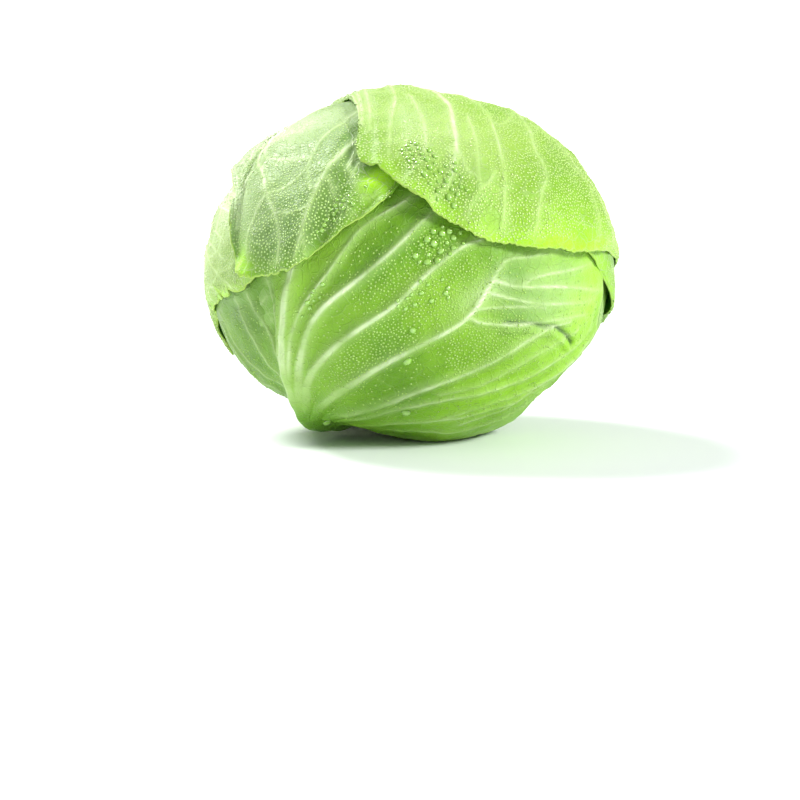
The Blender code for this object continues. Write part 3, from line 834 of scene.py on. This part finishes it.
def leaf_finish(name, deep, light, network, misted):
    """A wrapper leaf: mottled green blade, pale veins and the network between them, with painted shade,
    painted sheen, painted highlights on the vein crests and a light rim of painted light.
    """
    finish = Finish(name, Roughness=0.4, Specular_IOR_Level=0.24, Subsurface_Weight=0.1,
                    Subsurface_Scale=0.003, Subsurface_Radius=(0.5, 1.0, 0.1))
    inside, from_stem, young_and_lit, sheen, painted_shade, margin = (
        finish.attribute(key) for key in ("vein", "from_stem", "young_and_lit", "painted_sheen", "painted_shade", "margin"))
    mottle = finish.noise(150, 4)
    patchy = finish.noise(60, 2).between(0.3, 0.7)
    net = 1 - finish.cell_edges(190, 160, 0.004).between(0.0, 0.075)
    fine_net = 1 - finish.cell_edges(520, 400, 0.0016).between(0.0, 0.12)
    grown = from_stem.between(0.16, 0.4)
    band = inside.between(-0.8, 0.8) * grown * (0.35 + patchy)
    crest = inside.between(0.0, 1.0) * from_stem.between(0.3, 0.52)
    halo = inside.between(-4.0, 0.2) * grown
    between_veins = (1 - inside.between(-0.7, 0.1)) * (1 - young_and_lit)
    rim = 1 - margin.between(0.3, 1.1)
    colour = finish.mix(finish.noise(24, 3).between(0.32, 0.68), deep, light)
    for share, coat in (
            (mottle.between(0.35, 0.8) * 0.35, light),
            # Young yellow green, and painted light from the floor on the front leaf
            (young_and_lit, YOUNG_AND_LIT_GREEN),
            # Painted shade
            (painted_shade, SHADE_GREEN),
            (net * patchy * network * (1 - band), VEIN_PALE),
            (fine_net * 0.3 * network, VEIN_PALE),
            # Painted shade on the skin between the droplets, less under the painted sheen
            (between_veins * misted * 0.8 * (1 - sheen * 0.6), MIST_SHADE),
            # Painted sheen towards the upper left
            (sheen * 0.9, SHEEN_PALE),
            (halo * 0.22, VEIN_PALE),
            (band * 0.62, VEIN_PALE),
            # Painted highlight along the vein crests
            (crest * (0.15 + patchy * 0.45), VEIN_CREST),
            (band * sheen, SHEEN_VEIN),
            # Painted light along the margin
            (rim * 0.7, RIM_PALE)):
        colour = finish.mix(share, colour, coat)
    finish.feed("Base Color", colour)
    finish.bump(net * 0.5 + fine_net * 0.25 + mottle * 0.5 + band * 0.3, 0.0005, 0.7)
    finish.feed("Roughness", 0.36 + mottle * 0.16)
    return finish.material


def pith_finish():
    """The stem's cut face and rind: pale fibrous pith, stained brown in patches."""
    finish = Finish("stem_pith", Roughness=0.6, Subsurface_Weight=0.1, Subsurface_Scale=0.003)
    fibre = finish.noise(420, 5)
    colour = finish.mix(fibre.between(0.3, 0.7), (0.5, 0.56, 0.26), (0.74, 0.78, 0.5))
    stain = finish.noise(90, 3).between(0.52, 0.72)
    colour = finish.mix(stain * 0.5, colour, (0.36, 0.27, 0.12))
    finish.feed("Base Color", colour)
    finish.bump(fibre, 0.0006)
    return finish.material


def heart_finish():
    """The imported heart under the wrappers: pale yellow green, faintly veined."""
    finish = Finish("heart_leaf", Roughness=0.45, Subsurface_Weight=0.15, Subsurface_Scale=0.004)
    edges = finish.cell_edges(110, 60, 0.012)
    colour = finish.mix(finish.noise(30, 3), (0.46, 0.62, 0.2), (0.66, 0.78, 0.38))
    colour = finish.mix((1 - edges.between(0.0, 0.07)) * 0.6, colour, (0.82, 0.88, 0.62))
    finish.feed("Base Color", colour)
    finish.bump(edges, 0.0008)
    return finish.material


# The stem: its radius seen from the heart's centre, in radians, the height of its cut over the floor, how
# deep it runs into the heart, how hollow the cut is, and the depth of the rind's grooves over the radius
STUMP_ANGLE, CUT_HEIGHT, CORE_DEPTH, CUT_HOLLOW, GROOVES = 0.168, 0.0065, 0.0055, 0.5 * MM, 0.022
STUMP_SIDES, STUMP_RINGS, CUT_RINGS, RING_WIDTH = 64, 6, 5, 0.16


def add_stump():
    """The cut stem: a ringed cone frustum under the head, its cut face a little hollow."""
    bm = bmesh.new()
    bmesh.ops.create_cone(bm, cap_ends=True, segments=STUMP_SIDES, radius1=1, radius2=1, depth=2)
    sides = [edge for edge in bm.edges if abs(edge.verts[0].co.z - edge.verts[1].co.z) > 1]
    bmesh.ops.subdivide_edges(bm, edges=sides, cuts=STUMP_RINGS)
    for sign in (-1, 1):
        cap = next(face for face in bm.faces if len(face.verts) == STUMP_SIDES and face.normal.z * sign > 0.9)
        for _ in range(CUT_RINGS):
            bmesh.ops.inset_region(bm, faces=[cap], thickness=RING_WIDTH)
    side = unit(np.cross(STEM, (0, 1, 0)))
    other = np.cross(STEM, side)
    for vertex in bm.verts:
        x, y, z = vertex.co
        radius, turn = np.hypot(x, y), np.arctan2(y, x)
        grain = 1 - GROOVES * (1 + np.sin(17 * turn + 1.3 * np.sin(5 * turn)))
        angle = STUMP_ANGLE * radius * (grain if radius > 0.99 else 1)
        round_axis = (x * side + y * other) / max(radius, 1e-9)
        u = unit(np.cos(angle) * STEM + np.sin(angle) * round_axis)
        top = outward(u[None], np.array([-CORE_DEPTH]))[0]
        dish = CUT_HOLLOW * (1 - radius ** 2)
        foot = HEART_CENTRE + u * (CUT_HEIGHT + dish - HEART_CENTRE[2]) / u[2]
        vertex.co = top + (foot - top) * (1 - z) / 2
    bm.normal_update()
    bmesh.ops.recalc_face_normals(bm, faces=bm.faces)
    obj = new_object("stem_stump_cut", bm, pith_finish())
    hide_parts("stem_stump")
    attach(obj, "root")


def dew_finish(name, deep, light, pale):
    """Droplets that show the leaf's own green, with painted shade round the waist and a painted highlight on
    the crown.
    """
    finish = Finish(name, Roughness=0.12, IOR=1.33, Specular_IOR_Level=0.6)
    # Painted shade round the waist, painted highlight on the crown
    waist = [0.35 * c for c in deep]
    crown = [(1 - pale) * c + pale * p for c, p in zip(light, DEW_HIGHLIGHT)]
    height = finish.attribute("crown").between(0.05, 0.7) * (0.75 + 0.5 * finish.noise(500, 1))
    # Painted sheen on the droplets' crowns
    crown = finish.mix(finish.attribute("painted_sheen"), crown, SHEEN_PALE)
    finish.feed("Base Color", finish.mix(height, waist, crown))
    return finish.material


def drop_finish():
    """The larger drops: painted shade round the foot, the leaf's green through the body, a painted highlight
    on the crown.
    """
    finish = Finish("large_drop", Roughness=0.05, IOR=1.33, Specular_IOR_Level=1.0, Coat_Weight=1.0,
                    Coat_Roughness=0.02)
    height = finish.attribute("crown")
    # Painted shade at the foot, painted glint on the crown
    colour = finish.mix(height.between(0.0, 0.35), (0.02, 0.07, 0.003), (0.19, 0.4, 0.03))
    glint = height.between(0.5, 1.0) * (0.1 + 0.45 * finish.noise(400, 1))
    colour = finish.mix(glint, colour, (0.5, 0.74, 0.24))
    finish.feed("Base Color", colour)
    return finish.material


def spots(points, scores, count, gap, rng):
    """Up to count places, picked by score and none nearer to another than gap."""
    order = rng.permutation(len(points))
    order = order[rng.uniform(size=len(order)) < scores[order]]
    cells = np.floor(points / gap).astype(int).tolist()
    taken, kept = {}, []
    around = [(x, y, z) for x in (-1, 0, 1) for y in (-1, 0, 1) for z in (-1, 0, 1)]
    for i in order.tolist():
        a, b, c = cells[i]
        near = [j for x, y, z in around for j in taken.get((a + x, b + y, c + z), ())]
        if near and ((points[near] - points[i]) ** 2).sum(1).min() < gap * gap:
            continue
        taken.setdefault((a, b, c), []).append(i)
        kept.append(i)
        if len(kept) == count:
            break
    return np.array(kept, int)


def add_drops(name, places, normals, radii, finish, subdivisions):
    """One mesh of droplets: each a flattened ball sunk to its waist in the leaf."""
    ball = bpy.data.meshes.new(name + "_one")
    shape = bmesh.new()
    bmesh.ops.create_icosphere(shape, subdivisions=subdivisions, radius=1)
    shape.to_mesh(ball)
    shape.free()
    corners = np.array([vertex.co for vertex in ball.vertices])
    bm = bmesh.new()
    for _ in range(len(places)):
        bm.from_mesh(ball)
    obj = new_object(name, bm, finish)
    bpy.data.meshes.remove(ball)
    rng = np.random.default_rng(len(places))
    side = unit(np.cross(normals, rng.normal(size=(len(places), 3))))
    other = np.cross(normals, side)
    squat = rng.uniform(0.5, 0.72, len(places))
    wide = rng.uniform(0.88, 1.12, len(places))
    co = (places[:, None] + radii[:, None, None] * (
        corners[None, :, :1] * side[:, None] * wide[:, None, None]
        + corners[None, :, 1:2] * other[:, None] / wide[:, None, None]
        + corners[None, :, 2:] * normals[:, None] * squat[:, None, None]))
    obj.data.vertices.foreach_set("co", co.astype(np.float32).ravel())
    give(obj.data, "crown", np.tile(corners[:, 2], len(places)))
    # The painted sheen that each droplet takes from where it sits
    give(obj.data, "painted_sheen", np.repeat(painted_sheen(unit((places - HEART_CENTRE) / HEART)), len(corners)))
    obj.data.update()
    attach(obj, "root")


# The mist: where it came from, how many droplets a leaf has at most, the least gap between them and their
# radii, how far they are pushed about, how many tries each point of a skin gives, and how deep they are sunk
SPRAY_FROM = np.array([-0.25, -1.0, 0.6])
MOST_MIST = 9500
MIST_GAP, MIST_RADII, MIST_JITTER, MIST_TRIES = 1.15 * MM, (0.42, 0.66), 0.7 * MM, 3
MIST_SUNK = 0.1 * MM
# How round a droplet's ball is, in subdivisions
MIST_ROUND, DROP_ROUND = 1, 3
# How much of a droplet's crown takes the painted highlight rather than the leaf's own green
DEW_HIGHLIGHT_SHARE = {"front_leaf": 0.3, "over_left_leaf": 0.5, "over_right_leaf": 0.6}
# Clear patches in the mist: middle and half widths over w and s
CLEAR = {
    "over_right_leaf": [((-0.165, 0.905), (0.05, 0.03)), ((-0.215, 0.975), (0.04, 0.025)),
                        ((-0.495, 0.985), (0.07, 0.03))],
    "over_left_leaf": [((-0.05, 0.99), (0.06, 0.02))],
}
# Larger drops: the leaf, a middle and half widths over w and s, how many, and their radii in millimetres
DROPS = [
    ("front_leaf", (0.135, 0.74), (0.035, 0.07), 46, (0.9, 1.7)),
    ("front_leaf", (0.2, 0.62), (0.04, 0.06), 14, (0.8, 1.3)),
    ("front_leaf", (0.3, 0.46), (0.004, 0.004), 1, (2.0, 2.0)),
    ("front_leaf", (0.465, 0.365), (0.004, 0.004), 1, (2.0, 2.0)),
    ("front_leaf", (0.245, 0.53), (0.004, 0.004), 1, (1.5, 1.5)),
    ("front_leaf", (0.325, 0.15), (0.004, 0.004), 1, (2.1, 2.1)),
    ("front_leaf", (-0.1, 0.55), (0.06, 0.05), 8, (0.7, 1.2)),
    ("over_right_leaf", (-0.04, 0.945), (0.08, 0.035), 60, (0.9, 1.7)),
    ("over_right_leaf", (0.08, 0.94), (0.06, 0.03), 16, (0.8, 1.2)),
    ("over_left_leaf", (-0.1, 0.95), (0.1, 0.03), 20, (0.7, 1.1)),
]


# Where the front leaf is misted: middle and half width over w, then the s where it sets in and ends, each
# with the length of its slope
FRONT_MIST = [(0.225, 0.045, 0.28, 0.1, 0.78, 0.1), (0.13, 0.045, 0.5, 0.15, 2.0, 1.0),
              (0.36, 0.05, 0.5, 0.08, 0.72, 0.06)]


def mist_scores(name, w, s, facing):
    """How densely each place of a leaf is misted, 0 to 1."""
    if name == "front_leaf":
        bands = sum(np.exp(-((w - middle) / half) ** 4)
                    * smooth_step((s - first) / rise) * smooth_step((last - s) / fall)
                    for middle, half, first, rise, last, fall in FRONT_MIST)
        return 0.03 + 0.95 * np.clip(bands, 0, 1)
    even = 1.0 if LOOKS[name].misted else 0.15
    scores = even * (0.05 + 0.95 * smooth_step((facing + 0.35) / 0.5))
    for (at_w, at_s), (half_w, half_s) in CLEAR.get(name, ()):
        scores *= smooth_step(((w - at_w) / half_w) ** 2 + ((s - at_s) / half_s) ** 2 - 0.3)
    return scores


def given(mesh, name):
    return read(mesh.attributes[name].data, "value")


def vectors(mesh):
    """Places and normals of a mesh's vertices."""
    return read(mesh.vertices, "co", 3), read(mesh.vertex_normals, "vector", 3)


def add_dew(skins):
    """Mist over the outer leaves, thickest where the spray met them."""
    rng = np.random.default_rng(23)
    for k, (leaf, obj) in enumerate(zip(LEAVES, skins)):
        mesh = obj.data
        co, normals = vectors(mesh)
        u = unit((co - HEART_CENTRE) / HEART)
        facing = normals @ unit(SPRAY_FROM)
        shown = exposed(u, k, RELIEF_DRAPE, 0.001) > 0.9
        clear = shown & (given(mesh, "margin") > 1.2) & (co[:, 2] > 0.012) & (given(mesh, "young_and_lit") < 0.5)
        scores = mist_scores(leaf.name, given(mesh, "across"), given(mesh, "from_stem"), facing) * clear
        scores *= smooth_step(1.05 + 0.6 * waves(co, 70 + k, 0.016)) * (given(mesh, "vein") < -0.2)
        co, normals, scores = (np.repeat(values, MIST_TRIES, axis=0) for values in (co, normals, scores))
        jitter = rng.uniform(-1, 1, co.shape) * MIST_JITTER
        places = co + jitter - (jitter * normals).sum(1)[:, None] * normals
        kept = spots(places, scores, MOST_MIST, MIST_GAP, rng)
        if not len(kept):
            continue
        radii = rng.uniform(*MIST_RADII, len(kept)) * MM
        look = LOOKS[leaf.name]
        dew = dew_finish(leaf.name + "_dew", look.deep, look.light, DEW_HIGHLIGHT_SHARE.get(leaf.name, 0.4))
        sunk = places[kept] - normals[kept] * MIST_SUNK
        add_drops(leaf.name + "_mist", sunk, normals[kept], radii, dew, MIST_ROUND)


def add_large_drops(skins):
    """Larger drops where the mist has run together."""
    rng = np.random.default_rng(31)
    meshes = {leaf.name: (leaf, obj.data) for leaf, obj in zip(LEAVES, skins)}
    places, ways, radii = [], [], []
    for name, (at_w, at_s), (half_w, half_s), count, (least, most) in DROPS:
        leaf, mesh = meshes[name]
        co, normals = vectors(mesh)
        w, s = given(mesh, "across"), given(mesh, "from_stem")
        inside = ((w - at_w) / half_w) ** 2 + ((s - at_s) / half_s) ** 2
        scores = np.clip(1.2 - inside, 0, 1) * (given(mesh, "margin") > 2.0)
        if count == 1:
            kept = np.array([np.argmin(inside)])
        else:
            kept = spots(co, scores, count, 1.7 * most * MM, rng)
        places.append(co[kept])
        ways.append(normals[kept])
        radii.append(least + (most - least) * rng.uniform(size=len(kept)) ** 1.6)
    add_drops("large_drops", np.concatenate(places), np.concatenate(ways), np.concatenate(radii) * MM,
              drop_finish(), DROP_ROUND)


def add_camera():
    tilt = np.radians(EYE_TILT)
    ahead = np.array([0, np.cos(tilt), -np.sin(tilt)])
    up = np.array([0, np.sin(tilt), np.cos(tilt)])
    lens_px = LENS_MM / SENSOR_MM * PICTURE_PX
    ray = ahead * lens_px + up * HEAD_OFF_AXIS[1] + np.array([HEAD_OFF_AXIS[0], 0, 0])
    data = bpy.data.cameras.new("camera")
    data.lens, data.sensor_width = LENS_MM, SENSOR_MM
    data.clip_end = 50
    camera = bpy.data.objects.new("camera", data)
    camera.location = HEAD_MIDDLE - unit(ray) * EYE_DISTANCE
    camera.rotation_euler = (np.radians(90 - EYE_TILT), 0, 0)
    bpy.context.scene.collection.objects.link(camera)
    bpy.context.scene.camera = camera


def add_sun(name, position, spread, strength):
    """Light that falls evenly over head and floor, as from a softbox that looks this wide, in radians."""
    data = bpy.data.lights.new(name, "SUN")
    data.angle, data.energy = spread, strength
    light = bpy.data.objects.new(name, data)
    light.location = position
    light.rotation_euler = (Vector(HEAD_MIDDLE) - Vector(position)).to_track_quat("-Z", "Y").to_euler()
    bpy.context.scene.collection.objects.link(light)


# The floor: half its width, how far it is flat, both in metres, its climb per metre, and its cells
FLOOR_REACH, FLOOR_FLAT, FLOOR_CLIMB, FLOOR_CELLS = 60, 4, 0.05, 40


def add_stage():
    """A plain pale floor in soft studio light. Far off it climbs past the horizon, to fill the picture."""
    bm = bmesh.new()
    bmesh.ops.create_grid(bm, x_segments=FLOOR_CELLS, y_segments=FLOOR_CELLS, size=FLOOR_REACH)
    for vertex in bm.verts:
        vertex.co.z = FLOOR_CLIMB * max(0, vertex.co.length - FLOOR_FLAT)
    finish = Finish("pale_floor", Roughness=0.5)
    finish.feed("Base Color", finish.mix(finish.noise(0.8, 2), (0.86, 0.92, 0.9), (0.9, 0.95, 0.93)))
    new_object("floor", bm, finish.material)
    world = bpy.data.worlds.new("studio")
    world.use_nodes = True
    world.node_tree.nodes["Background"].inputs["Color"].default_value = (1, 1, 1, 1)
    world.node_tree.nodes["Background"].inputs["Strength"].default_value = 0.5
    bpy.context.scene.world = world
    add_sun("key", (1.0, -0.45, 0.75), 0.3, 3.6)
    add_sun("back", (-0.7, 0.6, 1.0), 0.4, 5.0)
    bpy.context.scene.view_settings.view_transform = "Standard"


# A leaf's material slot, its deep and light green, how strong its fine network is, and how misted the blade,
# which also sets the painted shade on the skin between its droplets
Look = namedtuple("Look", "slot deep light network misted", defaults=(0.3, 0.0))
LOOKS = {
    "under_leaf": Look("inner_leaf", (0.1, 0.24, 0.012), (0.16, 0.34, 0.03)),
    "back_leaf": Look("wrapper_leaf", (0.11, 0.26, 0.012), (0.18, 0.36, 0.03)),
    "right_leaf": Look("wrapper_leaf", (0.11, 0.26, 0.012), (0.18, 0.36, 0.03)),
    "front_leaf": Look("wrapper_leaf", (0.11, 0.27, 0.01), (0.2, 0.4, 0.02), 0.12),
    "left_leaf": Look("pale_leaf", (0.22, 0.38, 0.04), (0.36, 0.52, 0.11), 0.8, 0.4),
    "over_left_leaf": Look("outer_leaf", (0.13, 0.32, 0.012), (0.22, 0.43, 0.03), 0.8, 0.8),
    "over_right_leaf": Look("outer_leaf", (0.2, 0.42, 0.012), (0.32, 0.54, 0.05), 0.5, 0.3),
}

add_camera()
add_stage()
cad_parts["heart"].data.materials.clear()
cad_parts["heart"].data.materials.append(heart_finish())
add_stump()
skins = []
for k, leaf in enumerate(LEAVES):
    look = LOOKS[leaf.name]
    skins.append(add_leaf(k, leaf_finish(leaf.name, look.deep, look.light, look.network, look.misted)))
add_dew(skins)
add_large_drops(skins)
